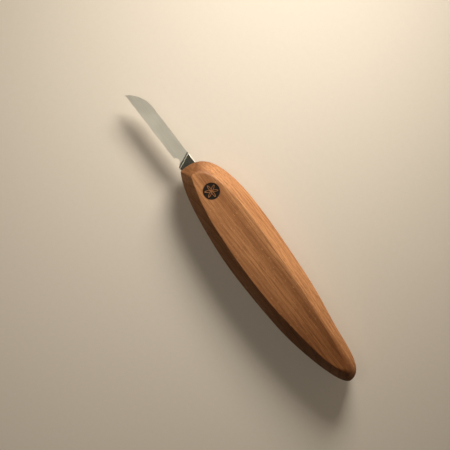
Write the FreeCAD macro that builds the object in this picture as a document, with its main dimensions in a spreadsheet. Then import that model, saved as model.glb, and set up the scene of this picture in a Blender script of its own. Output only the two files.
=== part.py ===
"""Whittling knife: a fixed steel blade glued into a one-piece, bevelled wooden handle.

Frame, in millimetres: +X runs from the blade's tip to the handle's butt, +Y towards the back of
the knife (the side away from the cutting edge) and +Z out of the broad face that bears the burnt
mark. The origin is the middle of the bounding box, on the plane of the other broad face, so the
knife lies on Z = 0.
"""
import FreeCAD, Part
import os
import Sketcher
from FreeCAD import Placement, Rotation, Vector

SIZES = {
    # handle: a slab with a wide bevel round each broad face
    "handle_thickness": 21.0,
    "bevel_height": 5.5,
    # blade: a ground strip on the handle's middle plane
    "blade_thickness": 1.8,
    "spine_back": 3.55,
    "edge_back": -3.65,
    "edge_thickness": 0.1,
    "tip_end": -88.35,
    "spine_drop_radius": 15.9,
    "spine_chamfer": 0.15,
    # where the flat grind stops, at the spine and at the cutting edge
    "plunge_spine": -47.1,
    "plunge_edge": -43.8,
    "grind_reach": 12.0,
    # choil: the round notch that ends the cutting edge
    "choil_centre": -47.4,
    "choil_radius": 2.0,
    "choil_top": -1.9,
    # ricasso and tang
    "ricasso_front": -44.3,
    "ricasso_low": -4.35,
    "shoulder_place": -38.0,
    "tang_high": 2.3,
    "tang_low": -2.7,
    "tang_end": 14.0,
    "key_first": -22.0,
    "key_spacing": 18.0,
    "key_radius": 1.1,
    # blind mortise and the glue in it
    "mortise_start": 5.0,
    "mortise_end": 16.0,
    "mortise_width": 2.3,
    "mortise_high": 3.7,
    "mortise_low": -4.5,
    "glue_front": -41.2,
    # burnt mark
    "mark_along": -25.5,
    "mark_across": 1.1,
    "mark_radius": 4.05,
    "mark_depth": 0.22,
}

# Control points (X, Y) of the two outlines, from the nose corner to the middle of the butt.
OUTLINES = {
    "side_back": [(-42.2, -4.9), (-43.5, 6.1), (-31.2, 14.4), (-3.7, 15.3), (17.6, 14.1),
                  (45.7, 12.3), (63.3, 8.2), (87.8, 6.8), (87.8, -1.0)],
    "side_belly": [(-42.2, -4.9), (-34.6, -9.4), (-15.6, -12.7), (8.7, -15.4), (39.8, -14.2),
                   (58.8, -12.9), (87.8, -5.3), (87.8, -1.0)],
    "face_back": [(-37.0, -2.4), (-39.0, 5.8), (-13.7, 9.6), (4.0, 8.8), (36.5, 7.2),
                  (50.5, 5.2), (81.8, 2.3), (81.8, -0.3)],
    "face_belly": [(-37.0, -2.4), (-26.2, -6.0), (-10.0, -9.0), (27.0, -10.1), (46.0, -8.7),
                   (81.8, -4.3), (81.8, -0.3)],
}

# The open side of the choil's arc, a 3-4-5 triangle away from its centre.
CHOIL_OPEN = ("choil_centre + choil_radius * 0.8", "choil_top - choil_radius * 0.4")

# From the spine to the cutting edge, along the slanting line where the grind stops.
SLANT_LENGTH = "sqrt( ( plunge_edge - plunge_spine ) ^ 2 + ( spine_back - edge_back ) ^ 2 )"

KEY_STATIONS = 2

# The points of a sketch element.
START = 1
END = 2
CENTRE = 3

doc = FreeCAD.newDocument("WhittlingKnife")
sheet = doc.addObject("Spreadsheet::Sheet", "Sizes")


def outline_cell(outline, number, direction):
    """The sheet's name for one coordinate of a control point."""
    return "%s_%d_%s" % (outline, number, direction)


def fill_sheet():
    """Write each driving dimension to the sheet, under its own name."""
    cells = dict(SIZES)
    for outline, points in OUTLINES.items():
        for number, (along, across) in enumerate(points):
            cells[outline_cell(outline, number, "along")] = along
            cells[outline_cell(outline, number, "across")] = across
    for row, (name, size) in enumerate(cells.items(), start=1):
        sheet.set("A%d" % row, name)
        sheet.set("B%d" % row, str(size))
        sheet.setAlias("B%d" % row, name)
    doc.recompute()


def bound(formula):
    """A formula over the sheet's names, as an expression that other objects can use."""
    words = formula.replace("(", "( ").replace(")", " )").split()
    return " ".join("Sizes." + word if word in SIZES or word.startswith(("side_", "face_"))
                    else word for word in words)


def value(formula):
    """The present value of a formula over the sheet's names."""
    return float(sheet.evalExpression(bound(formula)))


def origin_plane(body, role):
    """One of a body's own origin planes."""
    return next(plane for plane in body.Origin.OriginFeatures if plane.Role == role)


def new_body(name):
    body = doc.addObject("PartDesign::Body", name)
    body.Label = name
    body.Placement = Placement()
    return body


def new_sketch(body, name, role, height="0"):
    """A sketch parallel to an origin plane, at a height above it."""
    sketch = body.newObject("Sketcher::SketchObject", name)
    sketch.AttachmentSupport = (origin_plane(body, role), "")
    sketch.MapMode = "FlatFace"
    sketch.setExpression("AttachmentOffset.Base.z", bound(height))
    return sketch


def place_point(sketch, element, point, along, across):
    """Hold a sketch point at two formulas, measured from the sketch's origin."""
    for kind, formula in (("DistanceX", along), ("DistanceY", across)):
        number = sketch.addConstraint(
            Sketcher.Constraint(kind, -1, START, element, point, value(formula)))
        sketch.setExpression("Constraints[%d]" % number, bound(formula))


def add_lines(sketch, corners):
    """A closed outline of straight lines through corners given as pairs of formulas."""
    spots = [Vector(value(along), value(across), 0) for along, across in corners]
    ends = spots[1:] + spots[:1]
    lines = [sketch.addGeometry(Part.LineSegment(start, end), False)
             for start, end in zip(spots, ends)]
    for line, following in zip(lines, lines[1:] + lines[:1]):
        sketch.addConstraint(Sketcher.Constraint("Coincident", line, END, following, START))
    for line, (along, across) in zip(lines, corners):
        place_point(sketch, line, START, along, across)


def add_spline(sketch, outline, free_ends):
    """A cubic B-spline whose control points are the sheet's; returns its element number."""
    count = len(OUTLINES[outline])
    cells = [(outline_cell(outline, number, "along"), outline_cell(outline, number, "across"))
             for number in range(count)]
    poles = [Vector(value(along), value(across), 0) for along, across in cells]
    curve = Part.BSplineCurve()
    curve.buildFromPoles(poles, False, 3)
    spline = sketch.addGeometry(curve, False)
    first = None
    for number, pole in enumerate(poles):
        circle = sketch.addGeometry(Part.Circle(pole, Vector(0, 0, 1), 1.0), True)
        if first is None:
            first = circle
            sketch.addConstraint(Sketcher.Constraint("Weight", circle, 1.0))
        else:
            sketch.addConstraint(Sketcher.Constraint("Equal", first, circle))
        sketch.addConstraint(Sketcher.Constraint(
            "InternalAlignment:Sketcher::BSplineControlPoint", circle, CENTRE, spline, number))
        if free_ends and number in (0, count - 1):
            continue
        place_point(sketch, circle, CENTRE, *cells[number])
    return spline


def outline_sketch(body, name, kind, height):
    """A handle outline: one curve round the back, one round the belly, joined at both ends."""
    sketch = new_sketch(body, name, "XY_Plane", height)
    back = add_spline(sketch, kind + "_back", free_ends=False)
    belly = add_spline(sketch, kind + "_belly", free_ends=True)
    for point in (START, END):
        sketch.addConstraint(Sketcher.Constraint("Coincident", back, point, belly, point))
    return sketch


def hold(sketch, kind, elements, formula):
    """Hold a size of a sketch element at a formula."""
    number = sketch.addConstraint(Sketcher.Constraint(kind, *elements, value(formula)))
    sketch.setExpression("Constraints[%d]" % number, bound(formula))


def add_circle(sketch, along, across, radius):
    """A circle with its centre and radius held at formulas."""
    centre = Vector(value(along), value(across), 0)
    circle = sketch.addGeometry(Part.Circle(centre, Vector(0, 0, 1), value(radius)), False)
    place_point(sketch, circle, CENTRE, along, across)
    hold(sketch, "Radius", (circle,), radius)


def check_cut(feature):
    """Stop unless a feature has taken something off the shape that it works on."""
    doc.recompute()
    before = feature.BaseFeature.Shape.Volume
    taken = before - feature.Shape.Volume
    if not 0 < taken < before / 2:
        raise RuntimeError("%s took %.2f of %.2f" % (feature.Name, taken, before))
    print("%s takes %.2f mm3" % (feature.Label, taken))


def make_handle():
    """The wooden block: a bevelled slab with a blind mortise and a shallow burnt mark."""
    body = new_body("handle")
    sections = [
        outline_sketch(body, "under_face", "face", "0"),
        outline_sketch(body, "under_side", "side", "bevel_height"),
        outline_sketch(body, "upper_side", "side", "handle_thickness - bevel_height"),
        outline_sketch(body, "upper_face", "face", "handle_thickness"),
    ]
    slab = body.newObject("PartDesign::AdditiveLoft", "slab")
    slab.Profile = sections[0]
    slab.Sections = sections[1:]
    slab.Ruled = True
    doc.recompute()
    cut_mortise(body)
    cut_mark(body)
    return body


def cut_mortise(body):
    """A blind slot for the tang, sunk into the nose along +X."""
    sketch = new_sketch(body, "mortise_outline", "YZ_Plane", "side_back_0_along - mortise_start")
    low = "handle_thickness / 2 - mortise_width / 2"
    high = "handle_thickness / 2 + mortise_width / 2"
    add_lines(sketch, [("mortise_low", low), ("mortise_high", low),
                       ("mortise_high", high), ("mortise_low", high)])
    mortise = body.newObject("PartDesign::Pocket", "mortise")
    mortise.Profile = sketch
    mortise.Reversed = True
    mortise.setExpression(
        "Length", bound("mortise_end - side_back_0_along + mortise_start"))
    check_cut(mortise)


def cut_mark(body):
    """A round, flat-bottomed recess in the upper face."""
    sketch = new_sketch(body, "mark_outline", "XY_Plane", "handle_thickness")
    add_circle(sketch, "mark_along", "mark_across", "mark_radius")
    mark = body.newObject("PartDesign::Pocket", "burnt_mark")
    mark.Profile = sketch
    mark.setExpression("Length", bound("mark_depth"))
    check_cut(mark)


def blank_sketch(body):
    """The blade's outline: spine, drop to the tip, cutting edge, choil, ricasso and tang."""
    sketch = new_sketch(body, "blank_outline", "XY_Plane",
                        "handle_thickness / 2 - blade_thickness / 2")
    radius = value("spine_drop_radius")
    spine = value("spine_back")
    tip = Vector(value("tip_end"), value("edge_back"), 0)
    shoulder = value("shoulder_place")
    front = Vector(value("ricasso_front"), value("ricasso_low"), 0)
    tang_high = value("tang_high")
    tang_low = value("tang_low")
    tang_end = value("tang_end")

    # the spine's arc leaves the straight spine square to its own centre line
    rise = radius - (spine - tip.y)
    arc_centre = Vector(tip.x + (radius ** 2 - rise ** 2) ** 0.5, spine - radius, 0)
    arc_start = arc_centre + Vector(0, radius, 0)
    arc_middle = arc_centre + (arc_start + tip - arc_centre * 2).normalize() * radius

    # the choil's arc runs from its open side over its top to the heel of the cutting edge
    choil_radius = value("choil_radius")
    choil_centre = Vector(value("choil_centre"), value("choil_top") - choil_radius, 0)
    choil_start = Vector(value(CHOIL_OPEN[0]), value(CHOIL_OPEN[1]), 0)
    choil_top = choil_centre + Vector(0, choil_radius, 0)
    reach = tip.y - choil_centre.y
    heel = Vector(choil_centre.x - (choil_radius ** 2 - reach ** 2) ** 0.5, tip.y, 0)

    corners = [arc_start, Vector(shoulder, spine, 0), Vector(shoulder, tang_high, 0),
               Vector(tang_end, tang_high, 0), Vector(tang_end, tang_low, 0),
               Vector(shoulder, tang_low, 0), Vector(shoulder, front.y, 0), front, choil_start]
    lines = [sketch.addGeometry(Part.LineSegment(start, end), False)
             for start, end in zip(corners, corners[1:])]
    notch = sketch.addGeometry(Part.Arc(choil_start, choil_top, heel), False)
    cutting = sketch.addGeometry(Part.LineSegment(heel, tip), False)
    fall = sketch.addGeometry(Part.Arc(arc_start, arc_middle, tip), False)

    chain = lines + [notch, cutting]
    for element, following in zip(chain, chain[1:]):
        sketch.addConstraint(Sketcher.Constraint("Coincident", element, END, following, START))
    sketch.addConstraint(Sketcher.Constraint("Coincident", cutting, END, fall, END))
    sketch.addConstraint(Sketcher.Constraint("Tangent", fall, START, lines[0], START))
    hold(sketch, "Radius", (fall,), "spine_drop_radius")
    for kind, elements in (("Horizontal", (lines[0], lines[2], lines[4], lines[6], cutting)),
                           ("Vertical", (lines[1], lines[3], lines[5]))):
        for element in elements:
            sketch.addConstraint(Sketcher.Constraint(kind, element))
    place_point(sketch, lines[0], END, "shoulder_place", "spine_back")
    place_point(sketch, lines[2], END, "tang_end", "tang_high")
    place_point(sketch, lines[4], END, "shoulder_place", "tang_low")
    place_point(sketch, lines[6], END, "ricasso_front", "ricasso_low")
    place_point(sketch, notch, CENTRE, "choil_centre", "choil_top - choil_radius")
    place_point(sketch, notch, START, *CHOIL_OPEN)
    place_point(sketch, cutting, END, "tip_end", "edge_back")
    return sketch


def make_blade():
    """The steel strip: blank, eased spine, flat grinds that meet at the edge, and glue keys."""
    body = new_body("blade")
    blank = body.newObject("PartDesign::Pad", "blank")
    blank.Profile = blank_sketch(body)
    blank.setExpression("Length", bound("blade_thickness"))
    doc.recompute()

    eased = body.newObject("PartDesign::Chamfer", "eased_spine")
    eased.Base = (blank, spine_edges(blank.Shape))
    eased.setExpression("Size", bound("spine_chamfer"))
    check_cut(eased)

    cut_grinds(body)
    cut_glue_keys(body)
    return body


def spine_edges(shape):
    """The two straight edges along the top of the blade's spine."""
    spine = value("spine_back")
    names = []
    for number, edge in enumerate(shape.Edges, start=1):
        box = edge.BoundBox
        along_x = box.XLength > 1 and box.YLength < 0.001 and box.ZLength < 0.001
        if along_x and abs(box.YMin - spine) < 0.001:
            names.append("Edge%d" % number)
    return names


def cut_grinds(body):
    """One flat grind on each side, swept along the blade and stopped on a slanting line.

    The sketch stands upright on that slanting line: its first direction runs from the spine to
    the cutting edge, and its second is +Z, measured from the blade's middle plane.
    """
    sketch = new_sketch(body, "grind_section", "XZ_Plane")
    sketch.AttachmentOffset = Placement(Vector(), Rotation(Vector(0, 1, 0), -60))
    for place, formula in (("Base.x", "plunge_spine"), ("Base.y", "handle_thickness / 2"),
                           ("Base.z", "0 - spine_back")):
        sketch.setExpression("AttachmentOffset." + place, bound(formula))
    sketch.setExpression("AttachmentOffset.Rotation.Angle", bound(
        "atan2( edge_back - spine_back ; plunge_edge - plunge_spine )"))
    doc.recompute()

    past = "grind_reach"
    top = "blade_thickness / 2"
    outside = "blade_thickness / 2 + grind_reach"
    depth = ("blade_thickness / 2 - ( blade_thickness - edge_thickness ) / 2 * grind_reach"
             " / " + SLANT_LENGTH)
    for side in ("", "0 - "):
        heights = [("%s( %s )" % (side, height)) for height in (top, outside, outside, depth)]
        add_lines(sketch, list(zip(("0", "0", past, past), heights)))
    grinds = body.newObject("PartDesign::Pocket", "grinds")
    grinds.Profile = sketch
    grinds.UseCustomVector = True
    grinds.Direction = Vector(-1, 0, 0)
    grinds.AlongSketchNormal = False
    grinds.setExpression("Length", bound("plunge_edge - tip_end + grind_reach"))
    check_cut(grinds)


def cut_glue_keys(body):
    """Half-round notches in both long sides of the tang, for the glue to grip."""
    sketch = new_sketch(body, "key_outlines", "XY_Plane", "0")
    for station in range(KEY_STATIONS):
        along = "key_first + %d * key_spacing" % station
        for side in ("tang_high", "tang_low"):
            add_circle(sketch, along, side, "key_radius")
    keys = body.newObject("PartDesign::Pocket", "glue_keys")
    keys.Profile = sketch
    keys.Reversed = True
    keys.setExpression("Length", bound("handle_thickness"))
    check_cut(keys)


def make_tang_epoxy(blade):
    """The hardened glue: what the mortise holds apart from the tang."""
    filling = doc.addObject("Part::Box", "mortise_filling")
    for size, formula in (
            ("Length", "mortise_end - glue_front"),
            ("Width", "mortise_high - mortise_low"),
            ("Height", "mortise_width"),
            ("Placement.Base.x", "glue_front"),
            ("Placement.Base.y", "mortise_low"),
            ("Placement.Base.z", "handle_thickness / 2 - mortise_width / 2")):
        filling.setExpression(size, bound(formula))
    glue = doc.addObject("Part::Cut", "tang_epoxy")
    glue.Label = "tang_epoxy"
    glue.Base = filling
    glue.Tool = blade
    glue.Placement = Placement()
    doc.recompute()
    return glue


def check_document():
    """Stop if the document holds a feature that failed."""
    for item in doc.Objects:
        failed = [word for word in item.State if word in ("Invalid", "Error")]
        if failed:
            raise RuntimeError("%s is %s" % (item.Name, ", ".join(failed)))


def export_piece(piece):
    """Check one sub-part's shape and write it to the file named after its label."""
    shape = piece.Shape
    if shape.isNull() or not shape.isValid() or len(shape.Solids) != 1:
        raise RuntimeError("%s is not one sound solid" % piece.Label)
    shape.exportStep("parts/%s.step" % piece.Label)
    box = shape.BoundBox
    print("%-11s %9.1f mm3  X %.2f..%.2f  Y %.2f..%.2f  Z %.2f..%.2f" % (
        piece.Label, shape.Volume, box.XMin, box.XMax, box.YMin, box.YMax, box.ZMin, box.ZMax))


fill_sheet()
handle = make_handle()
blade = make_blade()
tang_epoxy = make_tang_epoxy(blade)
doc.recompute()
check_document()
os.makedirs("parts", exist_ok=True)
for piece in (handle, blade, tang_epoxy):
    export_piece(piece)
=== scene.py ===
"""Whittling knife: the looks of its wooden handle, ground steel blade and glue line.

Shapes are worked out in millimetres, in the CAD frame: +X from the blade's tip to the butt, +Y
towards the back of the knife, +Z out of the marked face. Meshes are stored in metres.
"""
import math

import bpy
import numpy as np
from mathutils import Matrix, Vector


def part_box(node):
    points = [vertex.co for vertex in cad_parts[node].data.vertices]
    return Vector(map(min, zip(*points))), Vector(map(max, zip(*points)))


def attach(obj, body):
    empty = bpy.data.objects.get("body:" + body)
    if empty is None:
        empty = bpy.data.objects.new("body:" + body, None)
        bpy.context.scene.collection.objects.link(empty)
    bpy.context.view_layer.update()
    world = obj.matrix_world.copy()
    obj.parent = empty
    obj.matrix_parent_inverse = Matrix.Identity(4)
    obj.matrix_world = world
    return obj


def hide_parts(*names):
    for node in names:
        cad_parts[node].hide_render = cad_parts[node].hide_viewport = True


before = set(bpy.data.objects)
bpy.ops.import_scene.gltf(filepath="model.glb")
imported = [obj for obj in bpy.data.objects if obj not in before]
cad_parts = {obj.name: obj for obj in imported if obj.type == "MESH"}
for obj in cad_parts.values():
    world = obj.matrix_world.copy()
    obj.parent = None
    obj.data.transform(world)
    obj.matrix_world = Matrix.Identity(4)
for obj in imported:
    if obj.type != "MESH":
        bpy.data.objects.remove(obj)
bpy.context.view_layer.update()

MM = 0.001
WOOD_CREASE = 32.0          # degrees; edges that turn more than this are left crisp
STEEL_CREASE = 15.0


def node_box(name):
    """Lowest and highest corner of a CAD node, in millimetres."""
    low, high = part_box(name)
    return np.array(low) / MM, np.array(high) / MM


HANDLE_LOW, HANDLE_HIGH = node_box("handle")
BLADE_LOW, BLADE_HIGH = node_box("blade")
GLUE_LOW, GLUE_HIGH = node_box("tang_epoxy")

# Handle
THICKNESS = HANDLE_HIGH[2]
MIDDLE = THICKNESS / 2
BEVEL_HEIGHT = 5.5
OUTLINES = {
    "side_back": [(-42.2, -4.9), (-43.5, 6.1), (-31.2, 14.4), (-3.7, 15.3), (17.6, 14.1),
                  (45.7, 12.3), (63.3, 8.2), (87.8, 6.8), (87.8, -1.0)],
    "side_belly": [(-42.2, -4.9), (-34.6, -9.4), (-15.6, -12.7), (8.7, -15.4), (39.8, -14.2),
                   (58.8, -12.9), (87.8, -5.3), (87.8, -1.0)],
    "face_back": [(-37.0, -2.4), (-39.0, 5.8), (-13.7, 9.6), (4.0, 8.8), (36.5, 7.2),
                  (50.5, 5.2), (81.8, 2.3), (81.8, -0.3)],
    "face_belly": [(-37.0, -2.4), (-26.2, -6.0), (-10.0, -9.0), (27.0, -10.1), (46.0, -8.7),
                   (81.8, -4.3), (81.8, -0.3)],
}
NOSE_EASE = {"side": 0.0004, "face": 0.006}  # turns, each way, that the corner's rounding takes
FACE_MIDDLE = (15.0, 0.0)
BEVEL_CROWN = 0.12          # how far a bevel swells out of flat, half-way across
SIDE_EASE = 0.5             # how far back from a corner its rounding begins
RIDGE_EASE = 0.45
RIDGE_EASE_NOSE = 0.8       # added round the nose, where the ridge is sanded softer
RIDGE_EASE_BUTT = 1.3       # added round the butt
BACK_PART = (-3.0, 4.0)     # the softer nose begins across these heights
END_REACH = 9.0             # how far in from the nose and the butt that softer sanding fades
NOSE_BACK = -40.0           # the side in front of this is the nose
HANDLE_COLUMNS = 600        # points round each ring
NOSE_CROWDING = (0.012, 0.12)   # how near the nose corner columns crowd, and how much

# Mortise in the nose, filled by the glue and the blade
MORTISE_LOW = GLUE_LOW[1:]
MORTISE_HIGH = GLUE_HIGH[1:]
MORTISE_END = GLUE_HIGH[0]
MOUTH_REACH = 1.5           # the mouth lies within this of the handle's foremost point
MOUTH_MARGIN = 1.6          # from the mouth to the next ring above and below it

# Burnt mark: a sunk disc with a six-petal rosette left standing as thin lines
MARK_CENTRE = np.array([-25.5, 1.1])
MARK_RADIUS = 4.05
MARK_DEPTH = 0.22
SCORCH_WIDTH = 0.9          # how far the burning has browned the wood round the mark
PETAL_RADIUS = 3.3
PETAL_LINE = 0.31
PETALS = 6
FAR = 9.0                   # a distance that counts as off the rosette

# Blade
SPINE = BLADE_HIGH[1]
EDGE = -3.65
TIP = BLADE_LOW[0]
HALF_BLADE = (BLADE_HIGH[2] - BLADE_LOW[2]) / 2
HALF_EDGE = 0.05
SPINE_DROP_RADIUS = 15.9
PLUNGE_SPINE = -47.1
PLUNGE_EDGE = -43.8
PLUNGE_FACET = 0.4          # width of the narrow bevel along the plunge line
PLUNGE_FALL = 0.8           # how far that bevel falls for each millimetre
PLUNGE_COVE = 1.6           # from the plunge line to where its hollow runs out into the grind
PLUNGE_LEAN = (PLUNGE_EDGE - PLUNGE_SPINE) / (SPINE - EDGE)
HOLLOW_SHADE_START = (-0.05, 0.1)     # the painted shade band in the hollow begins across here, from the bevel's foot
HOLLOW_SHADE_END = (0.35, 0.95)       # and fades out across here
CHOIL_CENTRE = -47.4
CHOIL_RADIUS = 2.0
CHOIL_TOP = -1.9
CHOIL_OPEN = (0.8, 0.4)     # where its arc ends, in radii: past its centre, and below its top
RICASSO_FRONT = -44.3
RICASSO_LOW = BLADE_LOW[1]
SHOULDER = -38.0
TANG_HIGH = 2.3
TANG_LOW = -2.7
TANG_END = BLADE_HIGH[0]
KEY_PLACES = (-22.0, -4.0)
KEY_RADIUS = 1.1
RICASSO_CHAMFER = (0.18, 0.55)  # plan width of the eased corners, and depth for that width
GROUND_CHAMFER = (0.03, 2.0)    # the same, where the grind reaches the spine
CHAMFER_CHANGE = (-47.3, -46.7) # along the blade, where the second gives way to the first
THINNEST = 0.09             # no corner is eased to less than this half thickness
LEAN_PLACES = (-56.0, -47.4, -42.6, -38.4)  # sections lean between the middle two, not outside


# ---------------------------------------------------------------- shared helpers

def bspline(points, along):
    """Clamped uniform cubic B-spline, by the Cox-de Boor sum, at parameters from 0 to 1."""
    degree = 3
    count = len(points)
    spans = np.linspace(0, 1, count - degree + 1)
    knots = np.concatenate([np.zeros(degree), spans, np.ones(degree)])
    along = np.clip(along, 0, 1 - 1e-9)
    basis = [((along >= low) & (along < high)).astype(float)
             for low, high in zip(knots, knots[1:])]
    for order in range(1, degree + 1):
        raised = []
        for k in range(len(basis) - 1):
            left = knots[k + order] - knots[k]
            right = knots[k + order + 1] - knots[k + 1]
            total = np.zeros_like(along)
            if left > 0:
                total += (along - knots[k]) / left * basis[k]
            if right > 0:
                total += (knots[k + order + 1] - along) / right * basis[k + 1]
            raised.append(total)
        basis = raised
    return np.stack(basis, axis=1) @ np.array(points, float)


def smooth_step(low, high, value):
    """0 below low, 1 above high, and a smooth cubic between."""
    part = np.clip((value - low) / (high - low), 0, 1)
    return part * part * (3 - 2 * part)


def new_piece(name, points, faces, material, node, crease):
    """A smooth-shaded mesh from points in millimetres, standing for a CAD node."""
    mesh = bpy.data.meshes.new(name)
    mesh.from_pydata((points * MM).tolist(), [], faces)
    mesh.validate()
    mesh.update()
    mesh.shade_smooth()
    mesh.set_sharp_from_angle(angle=math.radians(crease))
    mesh.materials.append(material)
    piece = bpy.data.objects.new(name, mesh)
    bpy.context.scene.collection.objects.link(piece)
    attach(piece, "root")
    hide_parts(node)
    return piece


def add_attribute(piece, name, values):
    """One number for each vertex, which the material reads by name."""
    attribute = piece.data.attributes.new(name, "FLOAT", "POINT")
    attribute.data.foreach_set("value", np.asarray(values, np.float32))


def tube_faces(rings, columns):
    """Quads between successive rings of vertices, each ring closed on itself."""
    ring = np.arange(rings - 1)[:, None] * columns
    here = np.arange(columns)[None, :]
    following = (here + 1) % columns
    corners = [ring + columns + here, ring + columns + following, ring + following, ring + here]
    return np.stack([np.broadcast_to(c, (rings - 1, columns)) for c in corners], axis=-1)


def fan_faces(ring, hub):
    """Triangles that close a ring of vertices to one hub vertex."""
    return np.stack([np.full(len(ring), hub), ring, np.roll(ring, -1)], axis=-1).tolist()


# ---------------------------------------------------------------- handle

def closed_outline(kind, turn):
    """A handle outline at turns from 0 to 2: along the back, then home along the belly, with
    its corner at the nose rounded by a parabola."""
    back, belly = OUTLINES[kind + "_back"], OUTLINES[kind + "_belly"]
    line = np.where((turn < 1)[:, None], bspline(back, turn), bspline(belly, 2 - turn))
    ease = NOSE_EASE[kind]
    from_corner = np.where(turn < 1, turn, turn - 2)
    t = (np.clip(from_corner / ease, -1, 1)[:, None] + 1) / 2
    ends = bspline(belly, np.array([ease])), bspline(back, np.array([ease]))
    curve = ends[0] * (1 - t) ** 2 + np.array(back[0]) * 2 * t * (1 - t) + ends[1] * t ** 2
    return np.where((np.abs(from_corner) < ease)[:, None], curve, line)


def handle_turns(count):
    """Where the handle's columns stand: even in length, in angle about the mark, and close
    together at the nose corner, with two moved on to the mortise's ends."""
    fine = np.linspace(0, 2, 20001)
    face = closed_outline("face", fine)
    side = closed_outline("side", fine)
    length = np.linalg.norm(np.diff(side, axis=0), axis=1)
    bearing = np.unwrap(np.arctan2(face[:, 1] - MARK_CENTRE[1], face[:, 0] - MARK_CENTRE[0]))
    angle = np.abs(np.diff(bearing))
    nearness, share = NOSE_CROWDING
    corner = np.exp(-np.minimum(fine[1:], 2 - fine[1:]) / nearness)
    weight = length / length.sum() + angle / angle.sum() + share * corner / corner.sum()
    gone = np.concatenate([[0], np.cumsum(weight)])
    turns = np.interp(np.linspace(0, gone[-1], count, endpoint=False), gone, fine)
    nose = (side[:, 0] < NOSE_BACK) & (fine < 1)
    for height in (MORTISE_LOW[0], MORTISE_HIGH[0]):
        exact = fine[nose][np.argmin(np.abs(side[nose, 1] - height))]
        turns[np.argmin(np.abs(turns - exact))] = exact
    return turns


def toward(start, end, distance):
    """The points a given distance from start on the way to end."""
    way = end - start
    return start + way * (distance / np.linalg.norm(way, axis=1))[:, None]


def rounded(corner, before, after, ease, rows):
    """Rows of a parabola that rounds a corner between two legs, begun and ended ease away."""
    first = toward(corner, before, ease)
    last = toward(corner, after, ease)
    return [first * (1 - t) ** 2 + corner * 2 * t * (1 - t) + last * t ** 2
            for t in np.linspace(0, 1, rows)]


def at_height(flat, height):
    """Plan points lifted to one height."""
    return np.column_stack([flat, np.full(len(flat), height)])


def upper_rows(turns, inner, side_rows):
    """Rings of the handle's upper half, from the upright side to the inner edge of its face.

    Each column is a broken line, side foot - side top - ridge - inner edge, with its two
    corners rounded by parabolas and the bevel between them crowned by a sine arch.
    """
    columns = len(turns)
    side = closed_outline("side", turns)
    face = closed_outline("face", turns)
    from_nose = face[:, 0] - face[:, 0].min()
    from_butt = face[:, 0].max() - face[:, 0]
    on_back = smooth_step(*BACK_PART, face[:, 1])
    ridge_ease = (RIDGE_EASE + RIDGE_EASE_NOSE * on_back * np.exp(-(from_nose / END_REACH) ** 2)
                  + RIDGE_EASE_BUTT * np.exp(-(from_butt / END_REACH) ** 2))
    side_ease = np.full(columns, SIDE_EASE)

    foot = at_height(side, MIDDLE)
    top = at_height(side, THICKNESS - BEVEL_HEIGHT)
    ridge = at_height(face, THICKNESS)
    rows = [at_height(side, height) for height in side_rows]
    rows += rounded(top, foot, ridge, side_ease, 6)
    start = toward(top, ridge, side_ease)
    end = toward(ridge, top, ridge_ease)
    outward = np.cross(ridge - top, np.roll(top, -1, axis=0) - np.roll(top, 1, axis=0))
    outward *= np.sign(outward[:, 2])[:, None]
    outward /= np.linalg.norm(outward, axis=1)[:, None]
    for t in np.linspace(0, 1, 9)[1:-1]:
        rows.append(start + (end - start) * t + outward * BEVEL_CROWN * math.sin(math.pi * t))
    rows += rounded(ridge, top, inner, ridge_ease, 9)
    flat_start = rows[-1]
    rows += [flat_start + (inner - flat_start) * smooth_step(0, 1, t)
             for t in np.linspace(0, 1, 14)[1:]]
    return rows


def rosette(place):
    """1 on the rosette's lines and 0 between them, from plan offsets to the mark's centre.

    A line lies where the distance to one of six points on a circle equals that circle's
    radius, so six equal circles cross to draw the petals.
    """
    radius = np.linalg.norm(place, axis=1)
    nearest = np.full(len(place), FAR)
    for petal in range(PETALS):
        angle = petal * math.tau / PETALS
        centre = PETAL_RADIUS * np.array([math.cos(angle), math.sin(angle)])
        ring = np.abs(np.linalg.norm(place - centre, axis=1) - PETAL_RADIUS)
        nearest = np.minimum(nearest, np.where(radius < PETAL_RADIUS, ring, FAR))
    half = PETAL_LINE / 2
    soft = half * 0.4
    return 1 - smooth_step(half - soft, half + soft, nearest)


def mark_rows(away):
    """Rings over the scorched rim, down the mark's wall and over its floor to near its centre,
    along unit directions away from that centre."""
    rows = [at_height(MARK_CENTRE + away * (MARK_RADIUS + SCORCH_WIDTH * t), THICKNESS)
            for t in (0.75, 0.5, 0.3, 0.15)]
    rows += [at_height(MARK_CENTRE + away * MARK_RADIUS, THICKNESS - MARK_DEPTH * t)
            for t in (0.0, 0.3, 0.7, 1.0)]
    for radius in np.linspace(MARK_RADIUS, 0, 48)[1:-1]:
        place = away * radius
        floor = THICKNESS - MARK_DEPTH * (1 - rosette(place))
        rows.append(np.column_stack([MARK_CENTRE + place, floor]))
    return rows


def inside_mortise(points, columns):
    """Which quads of the side lie in the mortise's mouth, as a mask over rings and columns."""
    rings = points.reshape(-1, columns, 3)
    following = np.roll(rings, -1, axis=1)
    middle = (rings[:-1] + rings[1:] + following[:-1] + following[1:]) / 4
    inside = middle[..., 0] < HANDLE_LOW[0] + MOUTH_REACH
    for axis, low, high in ((1, MORTISE_LOW[0], MORTISE_HIGH[0]),
                            (2, MORTISE_LOW[1], MORTISE_HIGH[1])):
        inside &= (middle[..., axis] > low) & (middle[..., axis] < high)
    return inside


def mouth_loop(inside, columns):
    """The vertices round the mortise's mouth, in order, from the mask of its quads."""
    rings, places = np.nonzero(inside)
    low, high = rings.min(), rings.max() + 1
    first, last = places.min(), places.max() + 1
    across, up = np.arange(first, last), np.arange(low, high)
    return np.concatenate([low * columns + across, up * columns + last,
                           high * columns + across[::-1] + 1, (up[::-1] + 1) * columns + first])


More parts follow.
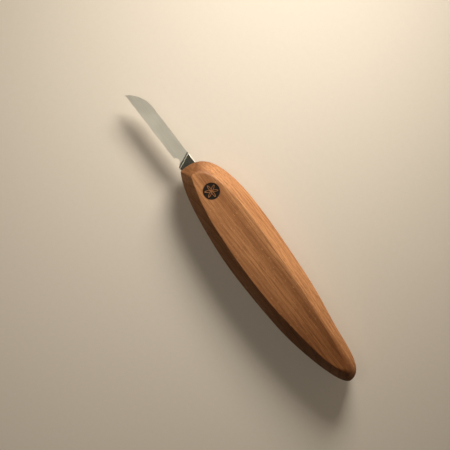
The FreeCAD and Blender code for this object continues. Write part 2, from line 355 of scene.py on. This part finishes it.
def handle_rings(turns):
    """All the block's rings, from the middle of its lower face to the middle of the mark."""
    low, high = MORTISE_LOW[1], MORTISE_HIGH[1]
    face = closed_outline("face", turns)
    away = face - MARK_CENTRE
    away /= np.linalg.norm(away, axis=1)[:, None]
    rim = at_height(MARK_CENTRE + away * (MARK_RADIUS + SCORCH_WIDTH), THICKNESS)
    upper = upper_rows(turns, rim, (MIDDLE, high, high + MOUTH_MARGIN)) + mark_rows(away)
    middle = np.array(FACE_MIDDLE)
    hub = at_height(middle + (face - middle) * 0.02, THICKNESS)
    lower = upper_rows(turns, hub, (low + 2 * (MIDDLE - low), high + MOUTH_MARGIN))
    lower = [row * [1, 1, -1] + [0, 0, THICKNESS] for row in lower][::-1]
    return lower + upper


def make_handle(material):
    """The block: one closed skin of rings, with the mortise let into the side at the nose."""
    rings = handle_rings(handle_turns(HANDLE_COLUMNS))
    body = np.concatenate(rings)
    inside = inside_mortise(body, HANDLE_COLUMNS)
    mouth = mouth_loop(inside, HANDLE_COLUMNS)
    mortise_floor = body[mouth] * [0, 1, 1] + [MORTISE_END, 0, 0]
    bottom = [FACE_MIDDLE[0], FACE_MIDDLE[1], 0.0]
    crown = [MARK_CENTRE[0], MARK_CENTRE[1], THICKNESS]
    points = np.concatenate([body, mortise_floor, [bottom], [crown]])

    deep = len(body) + np.arange(len(mouth))
    walls = np.stack([mouth, deep, np.roll(deep, -1), np.roll(mouth, -1)], axis=-1)
    first_ring = np.arange(HANDLE_COLUMNS)
    last_ring = (len(rings) - 1) * HANDLE_COLUMNS + first_ring
    faces = tube_faces(len(rings), HANDLE_COLUMNS)[~inside].tolist()
    faces += walls.tolist() + [deep.tolist()]
    faces += fan_faces(first_ring, len(points) - 2) + fan_faces(last_ring[::-1], len(points) - 1)
    piece = new_piece("handle_wood", points, faces, material, "handle",
                      WOOD_CREASE)
    colour_wood(piece, points)


def colour_wood(piece, points):
    """The handle's attributes: end grain by how far a normal lies along X, and the burnt mark."""
    normals = np.zeros(len(points) * 3, np.float32)
    piece.data.vertices.foreach_get("normal", normals)
    add_attribute(piece, "end_grain", np.abs(normals.reshape(-1, 3)[:, 0]))
    offset = points[:, :2] - MARK_CENTRE
    radius = np.linalg.norm(offset, axis=1)
    on_top = points[:, 2] > THICKNESS - MARK_DEPTH * 2
    sunk = on_top & (radius < MARK_RADIUS + 0.02)
    add_attribute(piece, "char", np.where(sunk, 1 - rosette(offset), 0))
    browned = 1 - smooth_step(MARK_RADIUS, MARK_RADIUS + SCORCH_WIDTH, radius)
    add_attribute(piece, "scorch", np.where(on_top, browned, 0))


# ---------------------------------------------------------------- blade

def spine_height(along):
    """The blade's upper outline: straight spine, round drop to the tip, shoulder and tang."""
    reach = math.sqrt(SPINE_DROP_RADIUS ** 2 - (SPINE_DROP_RADIUS - SPINE + EDGE) ** 2)
    before = np.minimum(along - (TIP + reach), 0)
    fall = SPINE_DROP_RADIUS - np.sqrt(np.maximum(SPINE_DROP_RADIUS ** 2 - before ** 2, 0))
    height = SPINE - fall
    height = np.where(along > SHOULDER, TANG_HIGH, height)
    return height - key_depth(along)


def edge_height(along):
    """The blade's lower outline: cutting edge, round choil, ricasso, shoulder and tang."""
    across = along - CHOIL_CENTRE
    round_part = CHOIL_TOP - CHOIL_RADIUS + np.sqrt(np.maximum(CHOIL_RADIUS ** 2 - across ** 2, 0))
    open_side = CHOIL_CENTRE + CHOIL_RADIUS * CHOIL_OPEN[0]
    open_height = CHOIL_TOP - CHOIL_RADIUS * CHOIL_OPEN[1]
    slope = (RICASSO_LOW - open_height) / (RICASSO_FRONT - open_side)
    ramp = open_height + slope * (along - open_side)
    height = np.where(along < open_side, np.maximum(EDGE, round_part), ramp)
    height = np.where(along < CHOIL_CENTRE - CHOIL_RADIUS, EDGE, height)
    height = np.where(along > RICASSO_FRONT, RICASSO_LOW, height)
    height = np.where(along > SHOULDER, TANG_LOW, height)
    return height + key_depth(along)


def key_depth(along):
    """How deep the half-round glue keys bite into the tang's long sides."""
    depth = np.zeros_like(along)
    for place in KEY_PLACES:
        depth += np.sqrt(np.maximum(KEY_RADIUS ** 2 - (along - place) ** 2, 0))
    return depth


def half_thickness(along, across):
    """Half of the steel's thickness at a plan place, 1 where it is ground, and 1 where the hollow
    gets painted shade.

    The flat grind falls in a straight line from the full thickness at the spine to the
    edge. At the slanting plunge line a bevel of one slope leaves the flat ricasso, and a
    parabola joins it to the grind as a shallow hollow.
    """
    plunge = PLUNGE_SPINE + (SPINE - across) * PLUNGE_LEAN
    behind = np.maximum(plunge - along, 0)
    depth = (HALF_BLADE - HALF_EDGE) / (SPINE - EDGE) * (SPINE - across)
    bevel = np.minimum(PLUNGE_FACET * PLUNGE_FALL, depth)
    hollow = behind - PLUNGE_FACET
    way = np.clip(hollow / (PLUNGE_COVE - PLUNGE_FACET), 0, 1)
    fall = np.minimum(behind * PLUNGE_FALL, bevel) + (depth - bevel) * (1 - (1 - way) ** 2)
    # painted shade: a dark band in the hollow beside the plunge bevel
    hollow_shade = smooth_step(*HOLLOW_SHADE_START, hollow) * (1 - smooth_step(*HOLLOW_SHADE_END, hollow))
    return HALF_BLADE - fall, (behind > 1e-6).astype(float), hollow_shade


def blade_stations():
    """Places along the blade's lower outline, close together at the tip, the choil, the plunge
    and each step, with one exactly where the plunge line comes out. Round parts are spaced by
    a cosine, which puts even steps along their arcs."""
    plunge_out = PLUNGE_SPINE + (SPINE - RICASSO_LOW) * PLUNGE_LEAN
    tip = TIP + 14 * np.linspace(0, 1, 50) ** 1.7
    edge = np.linspace(-72, -50, 40)
    choil = CHOIL_CENTRE - CHOIL_RADIUS * np.cos(np.linspace(0, math.pi * 0.8, 60))
    plunge = np.arange(-45.7, -42.9, 0.05)
    plunge_line = plunge_out - np.array([PLUNGE_FACET, 0.01, 0.0])
    ricasso = np.linspace(-42.8, SHOULDER - 0.1, 16)
    step = SHOULDER + np.array([-0.001, 0.001])
    tang = np.linspace(SHOULDER + 0.2, TANG_END, 60)
    keys = [place - KEY_RADIUS * np.cos(np.linspace(0, math.pi, 24)) for place in KEY_PLACES]
    return np.unique(np.concatenate([tip, edge, choil, plunge, plunge_line, ricasso, step, tang]
                                    + keys))


def chamfer_at(along, width):
    """Width and depth of the eased long corner at places along the blade."""
    flat = smooth_step(*CHAMFER_CHANGE, along)
    across, fall = (flat * flat_part + (1 - flat) * ground_part
                    for flat_part, ground_part in zip(RICASSO_CHAMFER, GROUND_CHAMFER))
    across = np.minimum(across, width * 0.2)
    return across, across * fall


def blade_sections():
    """Upper half of the strip as grids over stations and width: along, across, half thickness,
    ground and the painted shade in the hollow.

    Round the plunge the sections lean, so that they lie along its line: the upper end of each
    is set back from the lower end by the lean times the blade's width there.
    """
    below = blade_stations()[1:]
    low = edge_height(below)
    lean = PLUNGE_LEAN * np.interp(below, LEAN_PLACES, (0, 1, 1, 0))
    above = below - lean * (SPINE - low)
    high = spine_height(above)
    ease_low, deep_low = chamfer_at(below, high - low)
    ease_high, deep_high = chamfer_at(above, high - low)
    t = np.concatenate([[0, 0.002], np.linspace(0.03, 0.97, 34), [0.998, 1]])
    lower, upper = low + ease_low, high - ease_high
    across = lower[:, None] + (upper - lower)[:, None] * t
    section = np.concatenate([low[:, None], across, high[:, None]], axis=1)
    part = (section - low[:, None]) / (high - low)[:, None]
    along = below[:, None] + (above - below)[:, None] * part
    height, ground, hollow_shade = half_thickness(along, section)
    height[:, 0] -= np.minimum(deep_low, np.maximum(height[:, 0] - THINNEST, 0))
    height[:, -1] -= np.minimum(deep_high, np.maximum(height[:, -1] - THINNEST, 0))
    ground[:, :2] = 1
    ground[:, -2:] = 1
    return along, section, height, ground, hollow_shade


def make_blade(material):
    """The strip: at each station a closed section of upper face, spine, under face and edge."""
    grids = [np.concatenate([grid, grid[:, ::-1] * side], axis=1)
             for grid, side in zip(blade_sections(), (1, 1, -1, 1, 1))]
    along, across, height, ground, hollow_shade = grids
    stations, columns = along.shape
    points = np.stack([along, across, height + MIDDLE], axis=-1).reshape(-1, 3)
    points = np.concatenate([points, [[TIP, EDGE, MIDDLE]]])
    ring = np.arange(columns)
    faces = tube_faces(stations, columns).reshape(-1, 4).tolist()
    faces += fan_faces(ring, len(points) - 1)
    faces.append(((stations - 1) * columns + ring)[::-1].tolist())
    piece = new_piece("blade_steel", points, faces, material, "blade",
                      STEEL_CREASE)
    add_attribute(piece, "ground", np.append(ground.ravel(), 1.0))
    # painted shade in the plunge's hollow, which the material reads
    add_attribute(piece, "hollow_shade", np.append(hollow_shade.ravel(), 0.0))


# ---------------------------------------------------------------- materials

class Shader:
    """A material's node tree, with short calls for the nodes that the finishes share."""

    def __init__(self, name):
        self.material = bpy.data.materials.new(name)
        self.material.use_nodes = True
        self.tree = self.material.node_tree
        self.surface = self.tree.nodes["Principled BSDF"]
        self.place = self.node("ShaderNodeTexCoord").outputs["Object"]

    def node(self, kind, **settings):
        """A new node with some of its settings."""
        made = self.tree.nodes.new(kind)
        for key, setting in settings.items():
            setattr(made, key, setting)
        return made

    def feed(self, socket, source):
        """Link a socket, or set it to a plain value."""
        if isinstance(source, bpy.types.NodeSocket):
            self.tree.links.new(source, socket)
        else:
            socket.default_value = source

    def math(self, operation, *inputs):
        """The result of one sum on sockets or numbers."""
        made = self.node("ShaderNodeMath", operation=operation)
        for socket, source in zip(made.inputs, inputs):
            self.feed(socket, source)
        return made.outputs[0]

    def stretched(self, scale, shift=(0, 0, 0)):
        """Object coordinates scaled to features per millimetre in each direction."""
        made = self.node("ShaderNodeMapping")
        self.feed(made.inputs["Vector"], self.place)
        made.inputs["Scale"].default_value = [s / MM for s in scale]
        made.inputs["Location"].default_value = shift
        return made.outputs[0]

    def noise(self, scale, detail=3.0, roughness=0.55, distortion=0.0, shift=(0, 0, 0)):
        """Smooth noise, about 0 to 1, with its own number of features per millimetre."""
        made = self.node("ShaderNodeTexNoise")
        self.feed(made.inputs["Vector"], self.stretched(scale, shift))
        for key, setting in (("Scale", 1.0), ("Detail", detail), ("Roughness", roughness),
                             ("Distortion", distortion)):
            made.inputs[key].default_value = setting
        return made.outputs["Fac"]

    def noise_along(self, value, detail, roughness=0.5):
        """Smooth noise over one number, about 0 to 1."""
        made = self.node("ShaderNodeTexNoise", noise_dimensions="1D")
        self.feed(made.inputs["W"], value)
        self.feed(made.inputs["Detail"], detail)
        self.feed(made.inputs["Roughness"], roughness)
        return made.outputs["Fac"]

    def split_place(self):
        """Object coordinates along each axis, in metres."""
        made = self.node("ShaderNodeSeparateXYZ")
        self.feed(made.inputs[0], self.place)
        return made.outputs

    def remap(self, value, low, high, new_low=0.0, new_high=1.0):
        """A smooth ramp of a value, from one range on to another."""
        made = self.node("ShaderNodeMapRange", interpolation_type="SMOOTHSTEP")
        for key, source in (("Value", value), ("From Min", low), ("From Max", high),
                            ("To Min", new_low), ("To Max", new_high)):
            self.feed(made.inputs[key], source)
        return made.outputs["Result"]

    def mix(self, factor, first, second, blend="MIX"):
        """The first colour at a factor of 0, and the second, or their product, at 1."""
        made = self.node("ShaderNodeMix", data_type="RGBA", blend_type=blend)
        self.feed(made.inputs[0], factor)
        self.feed(made.inputs[6], first)
        self.feed(made.inputs[7], second)
        return made.outputs[2]

    def attribute(self, name):
        """One of the piece's own attributes."""
        return self.node("ShaderNodeAttribute", attribute_name=name).outputs["Fac"]

    def bump(self, height, distance, strength):
        """Fine relief on the surface, its distance in millimetres."""
        made = self.node("ShaderNodeBump")
        self.feed(made.inputs["Height"], height)
        made.inputs["Distance"].default_value = distance * MM
        made.inputs["Strength"].default_value = strength
        self.feed(self.surface.inputs["Normal"], made.outputs[0])


def colour(red, green, blue):
    """A linear colour with full alpha."""
    return (red, green, blue, 1.0)


WOOD_LIGHT = colour(0.60, 0.295, 0.128)
WOOD_BODY = colour(0.43, 0.19, 0.075)
WOOD_DARK = colour(0.22, 0.085, 0.030)
WOOD_END = colour(0.13, 0.050, 0.017)
WOOD_END_PALE = colour(0.24, 0.100, 0.036)
WOOD_BUTT_SHADE = colour(0.56, 0.46, 0.35)     # what the painted shade towards the butt, for the light falling off there, lets through
CHAR = colour(0.012, 0.008, 0.005)
PITH = (38.0, -4.0)         # the tree's middle, across and above the floor, in millimetres
WANDER = 3.0                # how far the rings wander along the handle, and across a few of them
RIPPLE = 0.45
RING_WIDTH = 1.7
LATE_SPAN = (0.3, 0.9, 1.0)     # a ring darkens from the first part to the second, and then stops
YEARS_PER_MM = 0.6          # how quickly broad bands of good and poor years follow each other
STREAK_RADIUS = 42.4        # a band of darker years, at this distance from the pith
STREAK_WIDTH = 2.1
STRANDS_PER_MM = 1.7        # narrow dark strands in and beyond the streak
STRANDS_FROM = (39.5, 41.0)
STRANDS_TO = (45.0, 47.5)
OUTER_YEARS = (47.0, 51.5)  # the wood darkens across these distances from the pith
LINED_YEARS = (33.0, 40.5)  # late wood shows faintly inside the first, strongly past the second
HEART_YEARS = (39.5, 43.5)
BUTT_SHADE_SPAN = (0.02, 0.09)   # painted shade of the light falling off towards the butt, along the handle, in metres
HEART_DARKENING = (0.0, 0.085)


def ring_radius(shader, place):
    """Distance from the pith in millimetres, with two slow noises added so that rings wander."""
    across = shader.math("MULTIPLY_ADD", place[1], 1 / MM, -PITH[0])
    height = shader.math("MULTIPLY_ADD", place[2], 1 / MM, -PITH[1])
    radius = shader.math("SQRT", shader.math("ADD", shader.math("MULTIPLY", across, across),
                                             shader.math("MULTIPLY", height, height)))
    wander = shader.noise((1 / 70, 1 / 16, 1 / 16), detail=2.0)
    ripple = shader.noise((1 / 16, 1 / 3, 1 / 3), detail=2.0)
    radius = shader.math("MULTIPLY_ADD", shader.math("SUBTRACT", wander, 0.5), WANDER, radius)
    return shader.math("MULTIPLY_ADD", shader.math("SUBTRACT", ripple, 0.5), RIPPLE, radius)


def growth_tone(shader, radius):
    """The colour that the years give: pale bands, late wood as a saw-tooth in each ring, a
    streak as a bell curve about its radius, narrow strands, and darker outer years."""
    phase = shader.math("FRACT", shader.math("DIVIDE", radius, RING_WIDTH))
    rise, top, end = LATE_SPAN
    late = shader.math("MULTIPLY", shader.remap(phase, rise, top),
                       shader.remap(phase, top, end, 1.0, 0.0))
    year = shader.noise_along(shader.math("MULTIPLY", radius, YEARS_PER_MM), 5.0, 0.72)
    bands = shader.remap(year, 0.33, 0.67)
    late = shader.math("MULTIPLY", late, shader.remap(bands, 0.2, 0.8, 0.8, 0.1))
    off_streak = shader.math("DIVIDE", shader.math("SUBTRACT", radius, STREAK_RADIUS),
                             STREAK_WIDTH)
    streak = shader.math("EXPONENT", shader.math(
        "MULTIPLY", shader.math("MULTIPLY", off_streak, off_streak), -1.0))
    strand = shader.noise_along(shader.math("MULTIPLY_ADD", radius, STRANDS_PER_MM, 7.0), 2.0)
    strands = shader.math("MULTIPLY", shader.remap(strand, 0.48, 0.60),
                          shader.math("MULTIPLY", shader.remap(radius, *STRANDS_FROM),
                                      shader.remap(radius, *STRANDS_TO, 1.0, 0.2)))
    broad = shader.noise((1 / 40, 1 / 5, 1 / 5), detail=2.0)
    tone = shader.mix(shader.remap(broad, 0.3, 0.7, 0.25, 0.75), WOOD_BODY, WOOD_LIGHT)
    tone = shader.mix(shader.math("MULTIPLY", bands, 0.55), tone, WOOD_LIGHT)
    for darkness, share in ((streak, 0.6), (strands, 0.55),
                            (shader.remap(radius, *OUTER_YEARS), 0.5),
                            (late, shader.remap(radius, *LINED_YEARS, 0.3, 0.8))):
        tone = shader.mix(shader.math("MULTIPLY", darkness, share), tone, WOOD_DARK)
    return tone


def butt_shaded_tone(shader, tone, radius, along):
    """A tone darkened towards the butt as painted shade of the light falling off there, and more
    so in the years round the streak.
    """
    # painted shade: darker towards the butt, where the light falls off
    butt_shade = shader.remap(along, *BUTT_SHADE_SPAN, 0.0, 0.3)
    tone = shader.mix(butt_shade, tone, WOOD_BUTT_SHADE, "MULTIPLY")
    heart = shader.math("MULTIPLY", shader.remap(radius, *HEART_YEARS),
                        shader.remap(along, *HEART_DARKENING, 0.0, 0.85))
    return shader.mix(heart, tone, WOOD_BUTT_SHADE, "MULTIPLY")


def wood_material():
    """Oiled hardwood: growth rings about a pith beside the handle, wandering along it, with a
    darker streak, fibres, short pores, pale flecks, end grain and a charred, scorched mark."""
    shader = Shader("handle_wood")
    place = shader.split_place()
    radius = ring_radius(shader, place)
    fibre = shader.noise((1 / 14, 1.3, 1.3), detail=5.0, roughness=0.75)
    pores = shader.remap(shader.noise((1 / 4.5, 2.4, 2.4), detail=3.0), 0.56, 0.68)
    flecks = shader.remap(shader.noise((1 / 1.6, 1.3, 1.3), shift=(7, 3, 1)), 0.60, 0.72)
    blotch = shader.noise((1 / 2.2, 1 / 1.3, 1 / 1.3), detail=4.0)

    tone = growth_tone(shader, radius)
    tone = shader.mix(shader.remap(fibre, 0.4, 0.7, 0.05, 0.8), tone, WOOD_DARK)
    tone = shader.mix(shader.math("MULTIPLY", pores, 0.5), tone, WOOD_DARK)
    tone = shader.mix(shader.math("MULTIPLY", flecks, 0.5), tone, WOOD_LIGHT)
    # painted shade: the wood darkens towards the butt, where the light falls off
    tone = butt_shaded_tone(shader, tone, radius, place[0])
    end = shader.remap(shader.attribute("end_grain"), 0.25, 0.75)
    mottled = shader.mix(shader.remap(blotch, 0.35, 0.68), WOOD_END, WOOD_END_PALE)
    tone = shader.mix(shader.math("MULTIPLY", end, 0.85), tone, mottled)
    tone = shader.mix(shader.math("MULTIPLY", shader.attribute("scorch"), 0.35), tone, WOOD_DARK)
    char = shader.attribute("char")
    tone = shader.mix(char, tone, CHAR)
    shader.feed(shader.surface.inputs["Base Color"], tone)
    roughness = shader.remap(fibre, 0.3, 0.7, 0.42, 0.56)
    roughness = shader.math("MULTIPLY_ADD", char, 0.3, roughness)
    shader.feed(shader.surface.inputs["Roughness"], roughness)
    shader.surface.inputs["Specular IOR Level"].default_value = 0.22
    shader.bump(shader.math("MULTIPLY_ADD", pores, -0.6, fibre), 0.05, 0.5)
    return shader.material


STEEL_DARK = colour(0.55, 0.52, 0.45)
STEEL_LIGHT = colour(0.66, 0.63, 0.55)
RICASSO_DARK_FINISH_AND_REFLECTION = colour(0.27, 0.28, 0.24)
RICASSO_LIT_FINISH_AND_REFLECTION = colour(0.40, 0.41, 0.36)
RICASSO_REFLECTION_SPAN = (-0.001, 0.0035)     # painted reflection: the ricasso gets lighter across here, in metres along Y
# painted shade for the hollow at the plunge
PLUNGE_HOLLOW_SHADE = colour(0.12, 0.115, 0.10)


def steel_material():
    """Satin steel: long fine grinding lines on the ground faces, a smoother ricasso darker partly
    for its duller finish and partly as painted dark reflection, lighter towards the spine as
    painted reflection, and painted shade in the hollow at the plunge."""
    shader = Shader("blade_steel")
    lines = shader.noise((1 / 18, 9.0, 9.0), detail=4.0, roughness=0.6)
    smudge = shader.noise((1 / 9, 1 / 4, 1 / 4), detail=3.0)
    ground = shader.attribute("ground")
    tone = shader.mix(shader.remap(lines, 0.3, 0.7), STEEL_DARK, STEEL_LIGHT)
    # the ricasso: darker partly for its duller finish and partly as painted dark reflection, and
    # lighter towards the spine as painted reflection
    flat = shader.mix(shader.remap(shader.split_place()[1], *RICASSO_REFLECTION_SPAN), RICASSO_DARK_FINISH_AND_REFLECTION,
                      RICASSO_LIT_FINISH_AND_REFLECTION)
    tone = shader.mix(shader.remap(ground, 0.05, 0.6, 1.0, 0.0), tone, flat)
    # painted shade darkens the hollow at the plunge
    tone = shader.mix(shader.attribute("hollow_shade"), tone, PLUNGE_HOLLOW_SHADE)
    shader.feed(shader.surface.inputs["Base Color"], tone)
    shader.surface.inputs["Metallic"].default_value = 1.0
    roughness = shader.remap(smudge, 0.3, 0.7, 0.31, 0.34)
    roughness = shader.math("MULTIPLY_ADD", lines, 0.06, roughness)
    roughness = shader.math("MULTIPLY", roughness, shader.remap(ground, 0.0, 0.5, 0.6, 1.0))
    shader.feed(shader.surface.inputs["Roughness"], roughness)
    shader.bump(lines, 0.001, 0.2)
    return shader.material


GLUE_DARK = colour(0.05, 0.028, 0.012)
GLUE_LIGHT = colour(0.11, 0.065, 0.03)


def glue_material():
    """Cured epoxy: dark amber, glossy, with a few dusty specks."""
    shader = Shader("glue")
    specks = shader.noise((1.5, 1.5, 1.5), detail=4.0)
    tone = shader.mix(shader.remap(specks, 0.4, 0.7), GLUE_DARK, GLUE_LIGHT)
    shader.feed(shader.surface.inputs["Base Color"], tone)
    shader.feed(shader.surface.inputs["Roughness"], shader.remap(specks, 0.3, 0.7, 0.2, 0.35))
    shader.bump(specks, 0.02, 0.4)
    return shader.material


FLOOR_DARK = colour(0.60, 0.55, 0.48)
FLOOR_LIGHT = colour(0.63, 0.58, 0.51)
FLOOR_TINT = colour(1.0, 0.86, 0.66)
FLOOR_GLOW = 0.08


def floor_material():
    """A plain pale surface with a faint, even tooth, and a faint glow that lifts its shadows."""
    shader = Shader("floor")
    grain = shader.noise((0.4, 0.4, 0.4), detail=3.0)
    tone = shader.mix(grain, FLOOR_DARK, FLOOR_LIGHT)
    shader.feed(shader.surface.inputs["Base Color"], tone)
    shader.surface.inputs["Roughness"].default_value = 0.85
    shader.surface.inputs["Emission Color"].default_value = FLOOR_TINT
    shader.surface.inputs["Emission Strength"].default_value = FLOOR_GLOW
    return shader.material


# ---------------------------------------------------------------- stage

FLOOR_REACH = 1.5           # metres each way
KEY_TARGET = Vector((-0.045, 0.0, 0.012))
CARD_PLACE = Vector((-0.105, -0.12, 0.50))
CARD_TARGET = Vector((-0.068, 0.0, 0.0105))
GLINT_TARGET = Vector((-0.049, -0.002, 0.011))
ROOM_TINT = colour(1.0, 0.70, 0.42)
ROOM_FILL = 0.045
WALL_GLOW = 0.35            # added low down in +Y, where a lit wall stands far off
WALL_SIDE = (0.15, 0.75)    # it brightens across these parts of a direction's Y
WALL_HEIGHT = (0.3, 0.7)    # and fades out across these parts of its Z
BACKDROP = colour(0.60, 0.55, 0.48)
BACKDROP_LEVEL = 0.6
CAMERA_DISTANCE = 0.65      # metres above the level where the width is measured
CAMERA_LEVEL = 0.0155
CAMERA_WIDTH = 0.2171       # metres across the picture at that level
CAMERA_ROLL = 52.42
CAMERA_PLACE = (-0.0087, -0.0036)
SENSOR = 36.0               # millimetres


def set_floor():
    """A large square on the plane that the knife lies on."""
    reach = FLOOR_REACH
    mesh = bpy.data.meshes.new("floor")
    mesh.from_pydata([(-reach, -reach, 0), (reach, -reach, 0), (reach, reach, 0),
                      (-reach, reach, 0)], [], [(0, 1, 2, 3)])
    mesh.materials.append(floor_material())
    floor = bpy.data.objects.new("floor", mesh)
    bpy.context.scene.collection.objects.link(floor)


def area_light(name, place, target, size, power, tint, spread=180.0):
    """A soft rectangular light at a place in metres, facing a target."""
    data = bpy.data.lights.new(name, "AREA")
    data.shape = "RECTANGLE"
    data.size, data.size_y = size
    data.energy = power
    data.color = tint
    data.spread = math.radians(spread)
    light = bpy.data.objects.new(name, data)
    bpy.context.scene.collection.objects.link(light)
    light.location = place
    light.visible_camera = False
    light.rotation_euler = (target - place).to_track_quat("-Z", "Y").to_euler()


def toward_light(azimuth, elevation, distance):
    """A place seen from the key's target at an azimuth from +X towards +Y, in metres."""
    a, e = math.radians(azimuth), math.radians(elevation)
    return KEY_TARGET + distance * Vector((math.cos(e) * math.cos(a), math.cos(e) * math.sin(a),
                                           math.sin(e)))


def set_lights():
    """A warm key from beyond the back, a card over the blade, and a glint for the plunge."""
    area_light("key", toward_light(118, 35, 0.32), KEY_TARGET, (0.17, 0.13), 0.50,
               (1.0, 0.93, 0.82), spread=95.0)
    area_light("blade_card", CARD_PLACE, CARD_TARGET, (0.13, 0.09), 0.13, (1.0, 0.96, 0.86))
    area_light("plunge_glint", toward_light(207, 6, 0.30), GLINT_TARGET, (0.04, 0.04), 0.0003,
               (1.0, 0.95, 0.86), spread=4.5)


def sky_ramp(tree, value, low, high, new_low, new_high):
    """A smooth ramp of one direction component, in the surroundings' node tree."""
    ramp = tree.nodes.new("ShaderNodeMapRange")
    ramp.interpolation_type = "SMOOTHSTEP"
    tree.links.new(value, ramp.inputs["Value"])
    for key, setting in (("From Min", low), ("From Max", high), ("To Min", new_low),
                         ("To Max", new_high)):
        ramp.inputs[key].default_value = setting
    return ramp.outputs["Result"]


def set_surroundings():
    """A dim warm room with a brighter wall low down in +Y, seen directly as a pale backdrop."""
    world = bpy.data.worlds.new("surroundings")
    world.use_nodes = True
    tree = world.node_tree
    split = tree.nodes.new("ShaderNodeSeparateXYZ")
    tree.links.new(tree.nodes.new("ShaderNodeTexCoord").outputs["Generated"], split.inputs[0])
    strength = tree.nodes.new("ShaderNodeMath")
    strength.operation = "MULTIPLY_ADD"
    tree.links.new(sky_ramp(tree, split.outputs[1], *WALL_SIDE, 0.0, 1.0), strength.inputs[0])
    tree.links.new(sky_ramp(tree, split.outputs[2], *WALL_HEIGHT, WALL_GLOW, 0.0),
                   strength.inputs[1])
    strength.inputs[2].default_value = ROOM_FILL
    room = tree.nodes["Background"]
    room.inputs["Color"].default_value = ROOM_TINT
    tree.links.new(strength.outputs[0], room.inputs["Strength"])
    backdrop = tree.nodes.new("ShaderNodeBackground")
    backdrop.inputs["Color"].default_value = BACKDROP
    backdrop.inputs["Strength"].default_value = BACKDROP_LEVEL
    choice = tree.nodes.new("ShaderNodeMixShader")
    tree.links.new(tree.nodes.new("ShaderNodeLightPath").outputs["Is Camera Ray"],
                   choice.inputs[0])
    tree.links.new(room.outputs[0], choice.inputs[1])
    tree.links.new(backdrop.outputs[0], choice.inputs[2])
    tree.links.new(choice.outputs[0], tree.nodes["World Output"].inputs[0])
    bpy.context.scene.world = world


def set_camera():
    """A camera straight above, turned about its own axis."""
    data = bpy.data.cameras.new("camera")
    data.sensor_width = SENSOR
    data.lens = SENSOR * CAMERA_DISTANCE / CAMERA_WIDTH
    camera = bpy.data.objects.new("camera", data)
    bpy.context.scene.collection.objects.link(camera)
    camera.location = (CAMERA_PLACE[0], CAMERA_PLACE[1], CAMERA_DISTANCE + CAMERA_LEVEL)
    camera.rotation_euler = (0.0, 0.0, math.radians(CAMERA_ROLL))
    bpy.context.scene.camera = camera
    bpy.context.scene.view_settings.view_transform = "Standard"


make_handle(wood_material())
make_blade(steel_material())
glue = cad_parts["tang_epoxy"]
glue.data.materials.clear()
glue.data.materials.append(glue_material())
set_floor()
set_lights()
set_surroundings()
set_camera()
